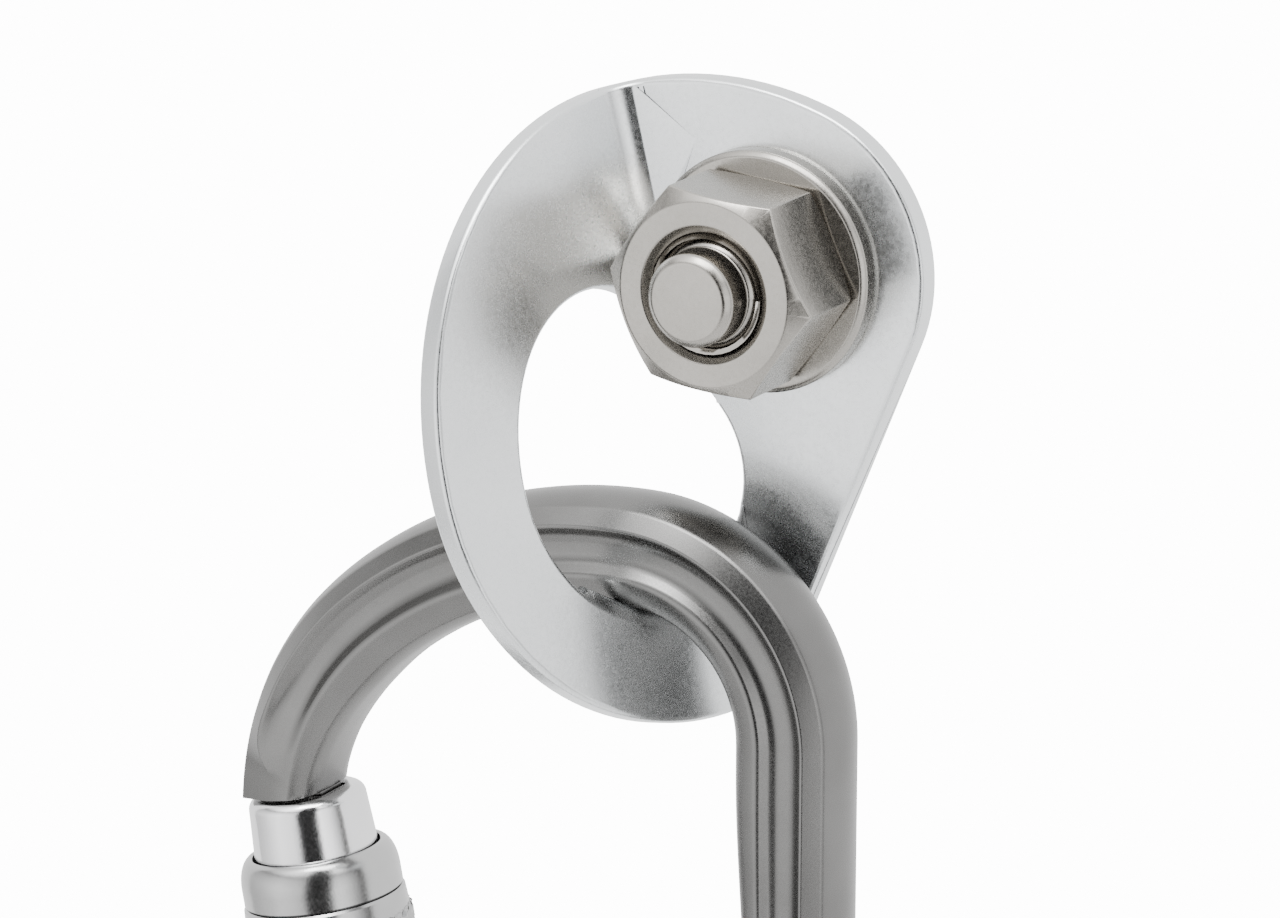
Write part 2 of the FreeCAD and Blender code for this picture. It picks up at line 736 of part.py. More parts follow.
def make_frame():
    body = new_body("forging")
    sketch = new_sketch(body, "bar_outline")
    sketch.addGeometry(frame_outline())
    body.setExpression("Placement.Base.y", in_sheet("-connector_depth"))
    pad(body, sketch, "bar_thickness", midplane=True)
    half = size("bar_thickness / 2")
    hinge = Vector(hinge_point()[0], 0, hinge_point()[1])

    def long_edge(edge):
        point = at_middle(edge)
        flat = Vector(point.x, 0, point.z)
        ends = abs(edge.Vertexes[0].Point.y - edge.Vertexes[-1].Point.y) < 1e-6
        straight_to_tongue = (flat - hinge).Length < 6.5
        on_nose = edge.Curve.TypeId == "Part::GeomLine" and point.x < -size("gate_top_offset") + 8
        return ends and abs(abs(point.y) - half) < 1e-6 and not straight_to_tongue and not on_nose

    dress(body, "Fillet", lambda shape: edge_names(shape, long_edge), "bar_round")
    for side in (1, -1):
        recess = new_sketch(body, "recess_outline")
        recess.addGeometry(recess_outline())
        recess.setExpression("AttachmentOffset.Base.z",
                             in_sheet("%d * (bar_thickness / 2 - recess_depth)" % side))
        before = body.Shape.Volume
        cut = body.newObject("PartDesign::Pocket", "recess_cut")
        cut.Profile = recess
        cut.setExpression("Length", in_sheet("recess_depth + 1"))
        cut.Reversed = side > 0
        doc.recompute()
        if before - body.Shape.Volume < 1:
            raise ValueError("the recess took nothing off the bar")

    key = key_arc("nose_key", "0", "1.5", KEY_OUT, KEY_IN)
    joined = fused("frame_with_key", [body, key])
    place = gate_placement()
    tools = []
    for side in (1, -1):
        start = place.multVec(Vector(0, side * size("tongue / 2"), 0))
        tools.append(cylinder("fork_room", "fork_radius + 0.5", "bar_thickness", start,
                              Vector(0, side, 0)))
    tools.append(cylinder("rivet_hole", "rivet_radius + 0.05", "bar_thickness + 2",
                          place.multVec(Vector(0, -size("bar_thickness / 2 + 1"), 0)), Y_AXIS))
    # the end of the nose is turned round so that the raised sleeve slides over it
    trim = turned("nose_trim", [
        ("sleeve_bore - 0.15", "gate_length - 1"),
        ("sleeve_bore + bar_radius", "gate_length - 1"),
        ("sleeve_bore + bar_radius", "gate_length + 4.4"),
        ("sleeve_bore + 0.75", "gate_length + 4.4"),
        ("sleeve_bore - 0.15", "gate_length + 2.8"),
    ], role="XZ_Plane")
    trim.Placement = place
    tools.append(trim)
    keep("frame", boolean("Cut", "frame", joined, fused("end_cuts", tools)))


# ---------------------------------------------------------------- gate

CHEEK = "bar_radius - cheek_depth"
BORE_DEPTH = "tongue_radius + bore_depth"
THREAD_FOOT = "gate_length - gate_thread_foot"
SLEEVE_TOP = "gate_length - ring_top"
BARREL_TOP = "gate_length - ring_top - ring_height"


def make_gate():
    foot = "gate_length - head_height"
    body = turned("gate_bar", [
        ("0", "-fork_radius"),
        ("bar_radius", "-fork_radius"),
        ("bar_radius", THREAD_FOOT + " - 0.5"),
        ("gate_thread_radius", THREAD_FOOT),
        ("gate_thread_radius", THREAD_FOOT + " + gate_thread_length"),
        ("bar_radius", THREAD_FOOT + " + gate_thread_length + 0.5"),
        ("bar_radius", foot + " - 0.4"),
        ("head_foot_radius", foot),
        ("head_foot_radius", foot + " + 2.4"),
        ("head_top_radius", "gate_length"),
        ("0", "gate_length"),
    ], role="XZ_Plane")

    def top_edge(edge):
        return (edge.Curve.TypeId == "Part::GeomCircle"
                and abs(at_middle(edge).z - size("gate_length")) < 1e-6)

    dress(body, "Fillet", lambda shape: edge_names(shape, top_edge), "head_height / 7.5")
    place = gate_placement()
    body.Placement = place

    beyond = 3
    wide = size("bar_radius") + beyond
    gap = size("fork_gap")
    root = size("tongue_radius + tongue_play")
    slot = doc.addObject("Part::Box", "fork_slot")
    slot.Length = 2 * wide
    slot.setExpression("Width", in_sheet("fork_gap"))
    slot.Height = wide + root
    slot.Placement = place.multiply(FreeCAD.Placement(Vector(-wide, -gap / 2, -wide), FreeCAD.Rotation()))
    corner = doc.addObject("Part::Box", "fork_corner")
    corner.Length = 2 * wide
    corner.Width = 2 * wide
    corner.Height = wide
    corner.Placement = place.multiply(FreeCAD.Placement(Vector(-wide, -wide, -wide), FreeCAD.Rotation()))
    round_end = cylinder("fork_round", "fork_radius", "4 * fork_radius",
                         place.multVec(Vector(0, -2 * size("fork_radius"), 0)), Y_AXIS)
    tools = [slot, boolean("Cut", "fork_end", corner, round_end)]
    for side in (1, -1):
        flat = doc.addObject("Part::Box", "cheek_flat")
        flat.Length = 2 * wide
        flat.Width = beyond
        flat.Height = wide + size("cheek_height")
        edge = size(CHEEK)
        start = edge if side > 0 else -edge - beyond
        flat.Placement = place.multiply(FreeCAD.Placement(Vector(-wide, start, -wide), FreeCAD.Rotation()))
        tools.append(flat)
    tools.append(cylinder("rivet_seat", "rivet_radius", "4 * fork_radius",
                          place.multVec(Vector(0, -2 * size("fork_radius"), 0)), Y_AXIS))
    axis = place.Rotation.multVec(Vector(0, 0, 1))
    tools.append(cylinder("plunger_bore", "bore_radius", BORE_DEPTH, place.Base, axis))
    tools.append(key_arc("key_slot", "key_clearance", "2", KEY_OUT - 8, KEY_IN + 0.3))
    keep("gate", boolean("Cut", "gate", body, fused("gate_cuts", tools)))


def on_gate(name, body):
    body.Placement = gate_placement()
    keep(name, body)


def make_rivet():
    head = "rivet_radius + rivet_lip"
    crown = head + " - 0.6"
    half = [
        ("rivet_radius", CHEEK),
        (head, CHEEK),
        (crown, CHEEK + " + rivet_head"),
        ("0", CHEEK + " + rivet_head"),
    ]
    mirrored = [(radius, "-1 * (%s)" % height) for radius, height in half[::-1]]
    on_gate("gate_rivet", turned("gate_rivet", mirrored + half))


PLUNGER_FOOT = "tongue_radius + 0.05"


def make_plunger():
    radius = "bore_radius - plunger_clearance"
    top = PLUNGER_FOOT + " + plunger_length"
    on_gate("gate_plunger", turned("gate_plunger", [
        ("0", PLUNGER_FOOT),
        (radius + " - 0.4", PLUNGER_FOOT),
        (radius, PLUNGER_FOOT + " + 0.4"),
        (radius, top),
        ("bore_radius / 2 - 0.2", top),
        ("bore_radius / 2 - 0.2", top + " + 2"),
        ("0", top + " + 2"),
    ], role="XZ_Plane"))


def make_spring():
    wire = size("spring_wire / 2")
    radius = size("bore_radius") - wire - 0.15
    low = size(PLUNGER_FOOT + " + plunger_length") + wire
    high = size(BORE_DEPTH) - wire
    helix = Part.makeHelix(1.5, high - low, radius)
    section = Part.Wire(Part.makeCircle(wire, Vector(radius, 0, 0), Y_AXIS))
    spring = doc.addObject("Part::Feature", "gate_spring")
    spring.Shape = Part.Wire(helix).makePipeShell([section], True, True)
    spring.Placement = gate_placement().multiply(FreeCAD.Placement(Vector(0, 0, low), FreeCAD.Rotation()))
    keep("gate_spring", spring)


# ---------------------------------------------------------------- screw sleeve

SPIGOT_OUTSIDE = "sleeve_bore + spigot_wall"


def make_ring():
    body = turned("sleeve_ring", [
        ("sleeve_bore", SLEEVE_TOP),
        ("ring_radius", SLEEVE_TOP),
        ("ring_radius", BARREL_TOP),
        (SPIGOT_OUTSIDE, BARREL_TOP),
        (SPIGOT_OUTSIDE, BARREL_TOP + " - spigot_length"),
        ("sleeve_bore", BARREL_TOP + " - spigot_length"),
    ], role="XZ_Plane")

    def crown(edge):
        return (edge.Curve.TypeId == "Part::GeomCircle"
                and abs(edge.Curve.Radius - size("ring_radius")) < 1e-6
                and abs(at_middle(edge).z - size(SLEEVE_TOP)) < 1e-6)

    dress(body, "Fillet", lambda shape: edge_names(shape, crown), "ring_wall - ring_rim")
    on_gate("sleeve_ring", body)


def make_barrel():
    foot = BARREL_TOP + " - barrel_length"
    bore = "gate_thread_radius + thread_clearance"
    seat = SPIGOT_OUTSIDE + " + thread_clearance"
    seat_floor = BARREL_TOP + " - spigot_length - 0.1"
    on_gate("sleeve_barrel", turned("sleeve_barrel", [
        (seat, BARREL_TOP),
        ("barrel_radius - 0.5", BARREL_TOP),
        ("barrel_radius", BARREL_TOP + " - 1"),
        ("barrel_radius", foot + " + 4"),
        ("barrel_radius - 1", foot),
        (bore + " + 0.3", foot),
        (bore, foot + " + 0.6"),
        (bore, BARREL_TOP + " - cover_depth"),
        ("sleeve_bore", BARREL_TOP + " - cover_depth + 0.5"),
        ("sleeve_bore", seat_floor),
        (seat, seat_floor),
    ], role="XZ_Plane"))


# ---------------------------------------------------------------- all pieces

for make in (make_stud, make_clip, make_washer, make_nut, make_hanger, make_frame, make_gate,
             make_rivet, make_plunger, make_spring, make_ring, make_barrel):
    make()
doc.recompute()

faults = [item.Name for item in doc.Objects if "Invalid" in item.State or "Error" in item.State]
if faults:
    raise RuntimeError("failed objects: %s" % faults)
for name, item in nodes.items():
    shape = item.Shape
    if shape.isNull() or not shape.isValid() or shape.Volume <= 0:
        raise RuntimeError("bad shape: " + name)

os.makedirs("parts", exist_ok=True)
for name, item in nodes.items():
    item.Shape.exportStep("parts/%s.step" % name)
    box = item.Shape.BoundBox
    print("%-15s %9.1f mm3  solids %d  x %.1f %.1f  y %.1f %.1f  z %.1f %.1f" % (
        name, item.Shape.Volume, len(item.Shape.Solids),
        box.XMin, box.XMax, box.YMin, box.YMax, box.ZMin, box.ZMax))
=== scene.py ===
import math

import bmesh
import bpy
from mathutils import Matrix, Vector
from mathutils.bvhtree import BVHTree


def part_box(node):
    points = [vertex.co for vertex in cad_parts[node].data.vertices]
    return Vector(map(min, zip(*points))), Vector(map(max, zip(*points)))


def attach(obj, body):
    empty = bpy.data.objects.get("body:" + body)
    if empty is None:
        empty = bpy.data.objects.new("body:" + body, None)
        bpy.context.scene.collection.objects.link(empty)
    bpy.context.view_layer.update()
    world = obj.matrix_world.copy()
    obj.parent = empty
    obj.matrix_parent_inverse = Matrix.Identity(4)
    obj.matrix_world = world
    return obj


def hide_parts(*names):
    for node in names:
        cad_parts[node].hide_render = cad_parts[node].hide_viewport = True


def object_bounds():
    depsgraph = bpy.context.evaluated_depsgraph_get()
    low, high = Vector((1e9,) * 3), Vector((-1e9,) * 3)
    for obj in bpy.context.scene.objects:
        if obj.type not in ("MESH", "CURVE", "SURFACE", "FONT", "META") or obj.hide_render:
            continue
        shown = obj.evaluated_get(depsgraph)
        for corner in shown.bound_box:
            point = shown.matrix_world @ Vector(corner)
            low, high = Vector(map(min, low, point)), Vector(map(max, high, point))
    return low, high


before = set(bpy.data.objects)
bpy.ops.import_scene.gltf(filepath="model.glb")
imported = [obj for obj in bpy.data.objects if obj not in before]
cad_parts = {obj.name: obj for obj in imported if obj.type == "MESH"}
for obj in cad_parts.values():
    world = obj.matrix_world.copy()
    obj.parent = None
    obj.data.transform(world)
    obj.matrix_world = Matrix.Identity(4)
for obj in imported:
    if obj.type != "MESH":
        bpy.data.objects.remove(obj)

cad_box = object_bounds()
MM = 0.001

# Connector, in millimetres: the bar's centre line lies in a plane parallel to the wall.
CONNECTOR_Y = -11.0
GATE_LEAN = math.radians(10.5)
GATE_LENGTH = 57.3
HINGE = Vector((-49.2 + GATE_LENGTH * math.sin(GATE_LEAN), CONNECTOR_Y,
                -59.6 - GATE_LENGTH * math.cos(GATE_LEAN)))
GATE = Matrix.Translation(HINGE) @ Matrix.Rotation(-GATE_LEAN, 4, "Y")
BOW_RADIUS = 17.1
BASKET_RADIUS = 13.5
SPINE_X = 7.84
BOW_TOP = -27.76
BASKET_FOOT = -129.5

SHARP_SHADING = math.radians(32)
FLAT_FACE_WEIGHT = 80
MERGE = 0.002
SOFTEN_REACH = 0.45


# ---------------------------------------------------------------- shared work

def keep_piece(name, bm, body, slot, finish, *nodes):
    """Turns a finished bmesh, in millimetres, into a piece that rides on a body."""
    bmesh.ops.scale(bm, vec=(MM, MM, MM), verts=bm.verts)
    mesh = bpy.data.meshes.new(name)
    bm.to_mesh(mesh)
    bm.free()
    mesh.materials.append(finish)
    obj = bpy.data.objects.new(name, mesh)
    bpy.context.scene.collection.objects.link(obj)
    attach(obj, body)
    if nodes:
        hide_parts(*nodes)
    smooth(obj)


def smooth(obj):
    """Smooth shading with flat faces kept flat."""
    obj.data.shade_smooth()
    obj.data.set_sharp_from_angle(angle=SHARP_SHADING)
    weighted = obj.modifiers.new("flat_faces", "WEIGHTED_NORMAL")
    weighted.keep_sharp = True
    weighted.weight = FLAT_FACE_WEIGHT


def cad_copy(node):
    """The node's own shape in millimetres."""
    bm = bmesh.new()
    bm.from_mesh(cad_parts[node].data)
    bmesh.ops.scale(bm, vec=(1 / MM, 1 / MM, 1 / MM), verts=bm.verts)
    bmesh.ops.remove_doubles(bm, verts=bm.verts, dist=MERGE)
    return bm


def whole_faces(bm, flat=0.4):
    """Joins triangles that lie in one plane, within a small angle in degrees."""
    bmesh.ops.dissolve_limit(bm, angle_limit=math.radians(flat), verts=bm.verts, edges=bm.edges)


def soften(bm, width, sharp=35, segments=3):
    """Rounds the sharp edges over, and puts a corner that strays far back on the old surface."""
    rims = [e for e in bm.edges if e.is_manifold and e.calc_face_angle() > math.radians(sharp)]
    before = BVHTree.FromBMesh(bm)
    bmesh.ops.bevel(bm, geom=rims, offset=width, offset_type="OFFSET", affect="EDGES",
                    segments=segments, profile=0.5, material=-1, clamp_overlap=False)
    for vert in bm.verts:
        near, _, _, away = before.find_nearest(vert.co)
        if away > SOFTEN_REACH * width:
            vert.co = near


def turn_profile(bm, profile, steps=128):
    """Spins a closed profile of (radius, height) points once round the Z axis."""
    verts = [bm.verts.new((radius, 0, height)) for radius, height in profile]
    edges = [bm.edges.new((a, b)) for a, b in zip(verts, verts[1:] + verts[:1])]
    bmesh.ops.spin(bm, geom=verts + edges, cent=(0, 0, 0), axis=(0, 0, 1), dvec=(0, 0, 0),
                   angle=2 * math.pi, steps=steps, use_merge=True, use_duplicate=False)
    bmesh.ops.remove_doubles(bm, verts=bm.verts, dist=0.001)
    bmesh.ops.recalc_face_normals(bm, faces=bm.faces)


def quarter(start, end, steps):
    """Points of a quarter oval, upright at the first point and level at the second."""
    points = []
    for step in range(steps + 1):
        turn = math.pi / 2 * step / steps
        points.append((end[0] + (start[0] - end[0]) * math.cos(turn),
                       start[1] + (end[1] - start[1]) * math.sin(turn)))
    return points


def everything(bm):
    """The whole shape, as the plane cuts take it."""
    return bm.verts[:] + bm.edges[:] + bm.faces[:]


def on_gate(bm):
    """Puts a shape made round the Z axis on the gate's line, its origin at the hinge."""
    bmesh.ops.transform(bm, matrix=GATE, verts=bm.verts)


# ---------------------------------------------------------------- finishes

NOISE_ROUGHNESS = 0.55
NOISE_LOW = 0.3
NOISE_HIGH = 0.7
CLOUD_SCALE = 90
RIPPLE_SCALE = 260
# Bump depths, in metres.
GRAIN_DEPTH = 0.00005
RIPPLE_DEPTH = 0.0002


def finish_nodes(name):
    mat = bpy.data.materials.new(name)
    mat.use_nodes = True
    nodes = mat.node_tree.nodes
    shader = nodes["Principled BSDF"]
    place = nodes.new("ShaderNodeTexCoord")
    return mat, nodes, mat.node_tree.links, shader, place.outputs["Object"]


def noise(nodes, links, place, scale, detail):
    """Noise of one grain size."""
    grain = nodes.new("ShaderNodeTexNoise")
    grain.inputs["Scale"].default_value = scale
    grain.inputs["Detail"].default_value = detail
    grain.inputs["Roughness"].default_value = NOISE_ROUGHNESS
    links.new(place, grain.inputs["Vector"])
    return grain.outputs["Fac"]


def between(nodes, links, value, low, high):
    """Maps a noise value to a range of numbers."""
    spread = nodes.new("ShaderNodeMapRange")
    spread.inputs["From Min"].default_value = NOISE_LOW
    spread.inputs["From Max"].default_value = NOISE_HIGH
    spread.inputs["To Min"].default_value = low
    spread.inputs["To Max"].default_value = high
    links.new(value, spread.inputs["Value"])
    return spread.outputs["Result"]


def tinted(nodes, links, value, dark, light):
    """Maps a noise value to a colour between two."""
    ramp = nodes.new("ShaderNodeValToRGB")
    ramp.color_ramp.elements[0].position = NOISE_LOW
    ramp.color_ramp.elements[1].position = NOISE_HIGH
    ramp.color_ramp.elements[0].color = (*dark, 1)
    ramp.color_ramp.elements[1].color = (*light, 1)
    links.new(value, ramp.inputs["Fac"])
    return ramp.outputs["Color"]


def bumped(nodes, links, shader, layers):
    """Adds bump layers of (height, strength, distance in metres) to the shader."""
    last = None
    for height, strength, distance in layers:
        bump = nodes.new("ShaderNodeBump")
        bump.inputs["Strength"].default_value = strength
        bump.inputs["Distance"].default_value = distance
        links.new(height, bump.inputs["Height"])
        if last:
            links.new(last, bump.inputs["Normal"])
        last = bump.outputs["Normal"]
    links.new(last, shader.inputs["Normal"])


def metal(name, dark, light, rough, grain_scale, grain_bump, ripple_bump=0.0):
    """A bare or anodised metal: cloudy tone, uneven gloss and a fine grain in the surface."""
    mat, nodes, links, shader, place = finish_nodes(name)
    shader.inputs["Metallic"].default_value = 1.0
    cloud = noise(nodes, links, place, CLOUD_SCALE, detail=4)
    grain = noise(nodes, links, place, grain_scale, detail=2)
    links.new(tinted(nodes, links, cloud, dark, light), shader.inputs["Base Color"])
    links.new(between(nodes, links, grain, rough[0], rough[1]), shader.inputs["Roughness"])
    layers = [(grain, grain_bump, GRAIN_DEPTH)]
    if ripple_bump:
        ripple = noise(nodes, links, place, RIPPLE_SCALE, detail=2)
        layers.append((ripple, ripple_bump, RIPPLE_DEPTH))
    bumped(nodes, links, shader, layers)
    return mat


def make_finishes():
    return {
        "plate": metal("satin_plate", (0.74, 0.76, 0.77), (0.80, 0.82, 0.83),
                       (0.22, 0.30), 2200, 0.05, 0.05),
        # Stainless for the nut, washer and stud: its base colour is held far below the plate's as painted
        # shade, standing for the darker surroundings these parts reflect.
        "stainless": metal("stainless_painted_shade", (0.34, 0.325, 0.30), (0.41, 0.39, 0.36),
                           (0.22, 0.31), 2600, 0.06, 0.10),
        "turned": metal("turned_stainless", (0.55, 0.53, 0.50), (0.63, 0.61, 0.58),
                        (0.24, 0.36), 3000, 0.35),
        "spring": metal("spring_steel", (0.36, 0.36, 0.37), (0.46, 0.46, 0.47),
                        (0.25, 0.38), 3000, 0.3),
        "forged": metal("anodised_bar", (0.155, 0.153, 0.15), (0.185, 0.183, 0.18),
                        (0.25, 0.32), 4200, 0.05, 0.03),
        "head": metal("polished_head", (0.74, 0.74, 0.75), (0.82, 0.82, 0.83),
                      (0.14, 0.20), 3600, 0.10),
        "sleeve": metal("anodised_sleeve", (0.40, 0.40, 0.40), (0.46, 0.46, 0.46),
                        (0.18, 0.25), 3600, 0.10),
    }


# ---------------------------------------------------------------- connector bar

SHOULDER_RADIUS = 45.7
NOSE_RADIUS = 30.0
SHOULDER_END = 132
NOSE_END = 181
# The spine's outer swell: half its angle, its radius and its crest's distance from the centre line.
SWELL_ANGLE = 29.7
SWELL_RADIUS = 7.47
SWELL_CREST = 5.88
SWELL_STEPS = 8
ARC_STEP = 0.7
STRAIGHT_STEP = 1.5
SAME_STATION = 0.05


def bar_stretches():
    """Arcs of the bar's centre line from the hinge round to the nose: centre, radius, start, end."""
    lean = math.degrees(GATE_LEAN)
    side = BASKET_FOOT + BASKET_RADIUS * (1 - math.sin(GATE_LEAN))
    below = (HINGE.z - side) / math.cos(GATE_LEAN)
    left = GATE @ Vector((BASKET_RADIUS, 0, -below))
    bow = Vector((SPINE_X - BOW_RADIUS, BOW_TOP - BOW_RADIUS))
    shoulder = Vector((bow.x, BOW_TOP - SHOULDER_RADIUS))
    turn = math.radians(SHOULDER_END)
    nose = shoulder + Vector((math.cos(turn), math.sin(turn))) * (SHOULDER_RADIUS - NOSE_RADIUS)
    return [
        (Vector((left.x, left.z)), BASKET_RADIUS, 180 + lean, 270),
        (Vector((bow.x, BASKET_FOOT + BOW_RADIUS)), BOW_RADIUS, 270, 360),
        (bow, BOW_RADIUS, 0, 90),
        (shoulder, SHOULDER_RADIUS, 90, SHOULDER_END),
        (nose, NOSE_RADIUS, SHOULDER_END, NOSE_END),
    ]


def bar_section():
    """The bar's section, a loop of rounded (outward, across) corners with a recess on each side."""
    front = [(4.9, -3.7), (3.1, -5.15), (1.9, -3.9), (-0.4, -3.9), (-1.6, -5.2), (-3.4, -5.0),
             (-5.2, -3.2)]
    rounding = [0.25, 0.3, 0.7, 0.7, 0.35, 1.2, 1.2]
    bm = bmesh.new()
    swell = []
    for step in range(1, SWELL_STEPS):
        tilt = math.radians(-SWELL_ANGLE + 2 * SWELL_ANGLE * step / SWELL_STEPS)
        swell.append((SWELL_CREST - SWELL_RADIUS * (1 - math.cos(tilt)),
                      SWELL_RADIUS * math.sin(tilt)))
    corners = [(u, -v) for u, v in front]
    loop = swell + corners + [(-5.5, 0)] + front[::-1]
    verts = [bm.verts.new((u, v, 0)) for u, v in loop]
    bm.faces.new(verts)
    for vert, width in zip(verts[7:14] + verts[15:22][::-1], rounding * 2):
        bmesh.ops.bevel(bm, geom=[vert], offset=width, offset_type="OFFSET", affect="VERTICES",
                        segments=3, profile=0.5, material=-1)
    bm.faces.ensure_lookup_table()
    points = [(v.co.x, v.co.y) for v in bm.faces[0].verts]
    bm.free()
    return points


def stations():
    """Centre line points with the outward direction and the distance run, from hinge to nose."""
    line = []
    last = None
    for centre, radius, start, end in bar_stretches():
        steps = max(8, round(math.radians(end - start) * radius / ARC_STEP))
        opening = math.radians(start)
        first = centre + Vector((math.cos(opening), math.sin(opening))) * radius
        if last and (first - last).length > 0.5:
            parts = round((first - last).length / STRAIGHT_STEP)
            for part in range(1, parts):
                line.append((last.lerp(first, part / parts), line[-1][1]))
        for step in range(steps + 1):
            angle = math.radians(start + (end - start) * step / steps)
            out = Vector((math.cos(angle), math.sin(angle)))
            point = centre + out * radius
            if not line or (point - line[-1][0]).length > SAME_STATION:
                line.append((point, out))
        last = line[-1][0]
    placed = []
    run = 0
    for index, (point, out) in enumerate(line):
        if index:
            run += (point - line[index - 1][0]).length
        placed.append((point, out, run))
    return placed


def ease(value, start, end):
    """A smooth step from 0 at the start to 1 at the end."""
    share = min(max((value - start) / (end - start), 0), 1)
    return share * share * (3 - 2 * share)


RECESS_START = 14.0
RECESS_END_LEFT = 6.0
ROUND_END = 4.5
RECESS_FADE_IN = 8
RECESS_FADE_OUT = 13
RECESS_MIDDLE = 0.8
LAND = 5.15
INNER_EDGE = 5.5
NOSE_TAPER = 24
NOSE_SLIM = 2.0
SPINE_SLIM = 1.3


def recess_share(run, total):
    """How wide the recess is: full along the bar, closing to a round end at both ends."""
    inward = min(run - RECESS_START, total - RECESS_END_LEFT - run)
    if inward <= 0:
        return 0.0
    if inward >= ROUND_END:
        return 1.0
    return math.sqrt(1 - (1 - inward / ROUND_END) ** 2)


def shaped(u, v, wide, deep, slim, spine):
    """A section point with the recess closed in, the nose thinned and the spine's inner side drawn in."""
    if -1.75 < u < 3.35 and abs(v) < 5.3:
        u = RECESS_MIDDLE + (u - RECESS_MIDDLE) * wide
        v = math.copysign(LAND - (LAND - abs(v)) * deep, v)
    if u < 0:
        u += slim * (-u / INNER_EDGE)
        u += spine * (-u / INNER_EDGE)
    return u, v


def sweep_bar(bm):
    """Draws the section along the centre line, one extrusion for each station."""
    section = bar_section()
    line = stations()
    total = line[-1][2]
    ring = []
    edges = []
    for index, (point, out, run) in enumerate(line):
        wide = recess_share(run, total)
        deep = (ease(run, RECESS_START, RECESS_START + RECESS_FADE_IN)
                * ease(total - run, RECESS_END_LEFT, RECESS_END_LEFT + RECESS_FADE_OUT))
        slim = NOSE_SLIM * ease(run, total - NOSE_TAPER, total)
        spine = 0
        if point.x > 6 and out.x > 0.9:
            spine = SPINE_SLIM * ease(-point.y, 48, 74) * ease(point.y, -112, -95)
        if index == 0:
            ring = [bm.verts.new() for _ in section]
            edges = [bm.edges.new((a, b)) for a, b in zip(ring, ring[1:] + ring[:1])]
            bm.faces.new(ring)
        else:
            made = bmesh.ops.extrude_edge_only(bm, edges=edges)["geom"]
            fresh = {g for g in made if isinstance(g, bmesh.types.BMVert)}
            edges = [g for g in made if isinstance(g, bmesh.types.BMEdge) and fresh.issuperset(g.verts)]
            ring = [next(e.other_vert(v) for e in v.link_edges if e.other_vert(v) in fresh)
                    for v in ring]
        for vert, (u, v) in zip(ring, section):
            u, v = shaped(u, v, wide, deep, slim, spine)
            vert.co = (point.x + out.x * u, CONNECTOR_Y + v, point.y + out.y * u)
    bm.faces.new(ring)
    bmesh.ops.recalc_face_normals(bm, faces=bm.faces)


# The nose is the part of the bar to the left of one line and above another.
NOSE_RIGHT = -35
NOSE_BOTTOM = -80
NOSE_FOOT = 6.6
NOSE_FLARE = 0.9
FLARE_START = 2.8
FLARE_RISE = 1.6
FLARE_TOP = 4.4


def make_bar(finish):
    """The swept bar, cut square above the gate and drawn in at the nose, with hinge and key."""
    bm = bmesh.new()
    sweep_bar(bm)
    up = GATE.to_3x3() @ Vector((0, 0, 1))
    face = GATE @ Vector((0, 0, GATE_LENGTH + 0.3))
    bmesh.ops.bisect_plane(bm, geom=everything(bm), dist=1e-4, plane_co=face, plane_no=-up,
                           clear_outer=False, clear_inner=False)
    low = [v for v in bm.verts if -12 < (v.co - face).dot(up) < -1e-3
           and v.co.x < NOSE_RIGHT and v.co.z > NOSE_BOTTOM]
    bmesh.ops.delete(bm, geom=low, context="VERTS")
    rim = [e for e in bm.edges if e.is_boundary]
    bmesh.ops.contextual_create(bm, geom=rim)
    bmesh.ops.bevel(bm, geom=rim, offset=0.35, offset_type="OFFSET", affect="EDGES",
                    segments=3, profile=0.5, material=-1, clamp_overlap=True)
    into_gate = GATE.inverted()
    for vert in bm.verts:
        if vert.co.x > NOSE_RIGHT or vert.co.z < NOSE_BOTTOM:
            continue
        local = into_gate @ vert.co
        above = local.z - GATE_LENGTH
        if above < FLARE_TOP:
            limit = NOSE_FOOT + NOSE_FLARE * min(max((above - FLARE_START) / FLARE_RISE, 0), 1)
            radial = math.hypot(local.x, local.y)
            if radial > limit:
                local.x *= limit / radial
                local.y *= limit / radial
                vert.co = GATE @ local
    bmesh.ops.recalc_face_normals(bm, faces=bm.faces)
    bm = hinge_end(bm)
    join_shapes(bm, nose_key())
    keep_piece("forged_bar", bm, "connector", "grey_aluminium", finish, "frame")


TONGUE = 5.0
TONGUE_RADIUS = 4.0
TONGUE_OFFSET = 1.0
FORK_ROOM = 5.85
ROOM_DEPTH = 12
KEY_HALF = 7


def across_hinge(radius, thickness, offset, middle=0):
    """A disc square to the hinge's axis."""
    bm = bmesh.new()
    bmesh.ops.create_cone(bm, cap_ends=True, cap_tris=False, segments=96, depth=thickness,
                          radius1=radius, radius2=radius)
    bmesh.ops.rotate(bm, verts=bm.verts, cent=(0, 0, 0), matrix=Matrix.Rotation(math.pi / 2, 3, "X"))
    bmesh.ops.translate(bm, verts=bm.verts, vec=(offset, middle, 0))
    return bm


def hinge_end(bar):
    """Room for the gate's fork on both sides of a round tongue."""
    for side in (-1, 1):
        room = across_hinge(FORK_ROOM, ROOM_DEPTH, 0, side * (TONGUE + ROOM_DEPTH) / 2)
        on_gate(room)
        bar = carved(bar, room, "DIFFERENCE")
    tongue = across_hinge(TONGUE_RADIUS, TONGUE, TONGUE_OFFSET)
    root = bmesh.new()
    bmesh.ops.create_cube(root, size=1)
    bmesh.ops.scale(root, vec=(2 * TONGUE_RADIUS, TONGUE, 8), verts=root.verts)
    bmesh.ops.translate(root, verts=root.verts, vec=(TONGUE_OFFSET, 0, -4))
    tongue = carved(tongue, root, "UNION")
    soften(tongue, 0.3)
    on_gate(tongue)
    return carved(bar, tongue, "UNION")


